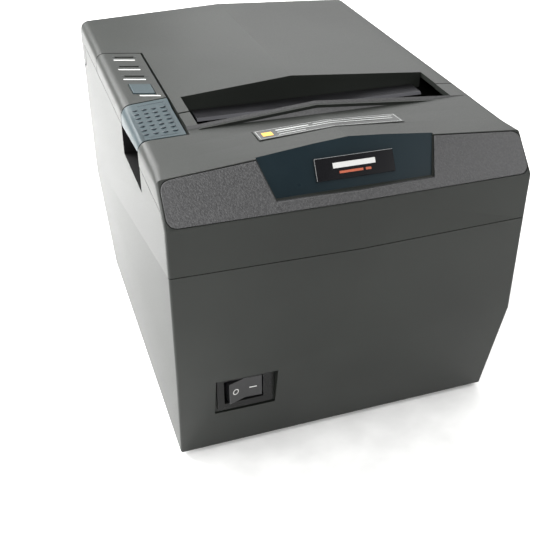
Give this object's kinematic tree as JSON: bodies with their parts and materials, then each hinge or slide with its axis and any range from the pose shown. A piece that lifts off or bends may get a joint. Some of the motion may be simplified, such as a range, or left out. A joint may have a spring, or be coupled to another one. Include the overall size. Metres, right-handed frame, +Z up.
{
  "type": "receipt printer",
  "caption": "Thermal receipt printer: faceted charcoal case with a hinged paper lid, sliding front cover, open lever, feed button, power rocker, print head, platen, cutter and gears.",
  "frame": {"origin": "on the ground, under the middle of the printer's bounding box", "axes": "+X to the right seen from the front, +Y towards the back, +Z up"},
  "size_m": [0.145, 0.204, 0.1362],
  "materials": {
    "case_black": "fine-grained charcoal moulding",
    "nose_texture": "coarse-grained charcoal moulding",
    "lever_grey": "smooth blue-grey moulding",
    "black_plastic": "black, slightly glossy",
    "plate_black": "satin black sheet",
    "lens_clear": "translucent light guide",
    "inner_plastic": "plain black moulding",
    "steel": "plain sheet and bar",
    "aluminium": "extruded",
    "rubber": "matt black",
    "gear_plastic": "white acetal",
    "board_green": "printed circuit board"
  },
  "bodies": {
    "base": {"base_case": "case_black", "bottom_plate": "inner_plastic", "case_screw_front_left": "steel", "case_screw_front_right": "steel", "case_screw_rear_left": "steel", "case_screw_rear_right": "steel", "connector_panel": "case_black", "control_panel": "case_black", "cutter_frame": "steel", "cutter_motor": "steel", "dc_jack": "black_plastic", "drawer_socket": "black_plastic", "feed_motor": "steel", "foot_front_left": "rubber", "foot_front_right": "rubber", "foot_rear_left": "rubber", "foot_rear_right": "rubber", "frame_bridge": "steel", "frame_left": "steel", "frame_right": "steel", "head_spring_left": "steel", "head_spring_right": "steel", "hinge_rod": "steel", "indicator_lens": "lens_clear", "lever_pin": "steel", "lever_spring": "steel", "main_board": "board_green", "paper_bucket": "inner_plastic", "paper_guide": "inner_plastic", "serial_socket": "black_plastic", "switch_bezel": "black_plastic", "usb_socket": "black_plastic"},
    "lid": {"top_cover": "case_black", "cover_liner": "inner_plastic", "tear_bar": "steel", "fixed_blade": "steel", "platen_bush_left": "gear_plastic", "platen_bush_right": "gear_plastic"},
    "platen": {"platen_roller": "rubber", "platen_shaft": "steel", "platen_gear": "gear_plastic"},
    "front_cover": {"front_cover": "case_black", "nose_panel": "nose_texture", "badge_plate": "plate_black", "label_plate": "plate_black"},
    "open_lever": {"open_lever": "lever_grey"},
    "latch": {"latch_shaft": "steel", "latch_hook_left": "steel", "latch_hook_right": "steel"},
    "feed_button": {"feed_button": "lever_grey"},
    "power_rocker": {"power_rocker": "black_plastic"},
    "print_head": {"print_head": "black_plastic", "heat_sink": "aluminium"},
    "moving_blade": {"moving_blade": "steel"},
    "cutter_gear": {"cutter_gear": "gear_plastic", "cutter_knob": "lever_grey"},
    "cutter_pinion": {"cutter_pinion": "gear_plastic"},
    "idler_gear": {"idler_gear": "gear_plastic"},
    "reduction_gear": {"reduction_gear": "gear_plastic"},
    "feed_pinion": {"feed_pinion": "gear_plastic"}
  },
  "joints": [
    {"name": "lid_hinge", "type": "hinge", "parent": "base", "child": "lid", "pos_m": [0, 0.0955, 0.118], "axis": [-1, 0, 0], "range_deg": [0, 80]},
    {"name": "platen_spin", "type": "hinge", "parent": "lid", "child": "platen", "pos_m": [0.007, -0.03, 0.1105], "axis": [1, 0, 0], "continuous": true},
    {"name": "idler_spin", "type": "hinge", "parent": "base", "child": "idler_gear", "pos_m": [0.058, -0.03, 0.0905], "axis": [1, 0, 0], "continuous": true},
    {"name": "reduction_spin", "type": "hinge", "parent": "base", "child": "reduction_gear", "pos_m": [0.06, -0.03895, 0.07724], "axis": [1, 0, 0], "continuous": true},
    {"name": "feed_motor_spin", "type": "hinge", "parent": "base", "child": "feed_pinion", "pos_m": [0.06, -0.05304, 0.06541], "axis": [1, 0, 0], "continuous": true},
    {"name": "front_cover_slide", "type": "slide", "parent": "base", "child": "front_cover", "axis": [0, -1, 0], "range_m": [0, 0.028]},
    {"name": "open_lever_hinge", "type": "hinge", "parent": "base", "child": "open_lever", "pos_m": [-0.062, -0.0175, 0.1245], "axis": [1, 0, 0], "range_deg": [0, 12], "stiffness_Nm_per_rad": 0.6, "springref_deg": -8.59},
    {"name": "latch_hinge", "type": "hinge", "parent": "base", "child": "latch", "pos_m": [0, -0.02, 0.0865], "axis": [1, 0, 0], "range_deg": [-10.8, 0]},
    {"name": "feed_button_press", "type": "slide", "parent": "base", "child": "feed_button", "axis": [0, 0, -1], "range_m": [0, 0.001], "stiffness_N_per_m": 1500, "springref_m": -0.0005},
    {"name": "power_rocker_hinge", "type": "hinge", "parent": "base", "child": "power_rocker", "pos_m": [-0.0447, -0.0907, 0.0345], "axis": [0, 0, -1], "range_deg": [0, 16]},
    {"name": "print_head_hinge", "type": "hinge", "parent": "base", "child": "print_head", "pos_m": [0.007, -0.0415, 0.0915], "axis": [1, 0, 0], "range_deg": [0, 3], "stiffness_Nm_per_rad": 8, "springref_deg": -1.72},
    {"name": "blade_slide", "type": "slide", "parent": "base", "child": "moving_blade", "axis": [0, 1, 0], "range_m": [0, 0.01]},
    {"name": "cutter_gear_spin", "type": "hinge", "parent": "base", "child": "cutter_gear", "pos_m": [-0.056, -0.068, 0.1205], "axis": [0, 0, 1], "range_deg": [0, 95.5]},
    {"name": "cutter_pinion_spin", "type": "hinge", "parent": "base", "child": "cutter_pinion", "pos_m": [-0.056, -0.083, 0.1205], "axis": [0, 0, 1], "range_deg": [-382, 0]}
  ],
  "couplings": [
    {"joint": "idler_spin", "follows": "platen_spin", "ratio": -0.92308},
    {"joint": "reduction_spin", "follows": "platen_spin", "ratio": 1.7143},
    {"joint": "feed_motor_spin", "follows": "platen_spin", "ratio": -6.1714},
    {"joint": "latch_hinge", "follows": "open_lever_hinge", "ratio": -0.9},
    {"joint": "cutter_gear_spin", "follows": "blade_slide", "rad_per_m": 166.67},
    {"joint": "cutter_pinion_spin", "follows": "blade_slide", "rad_per_m": -666.67}
  ]
}
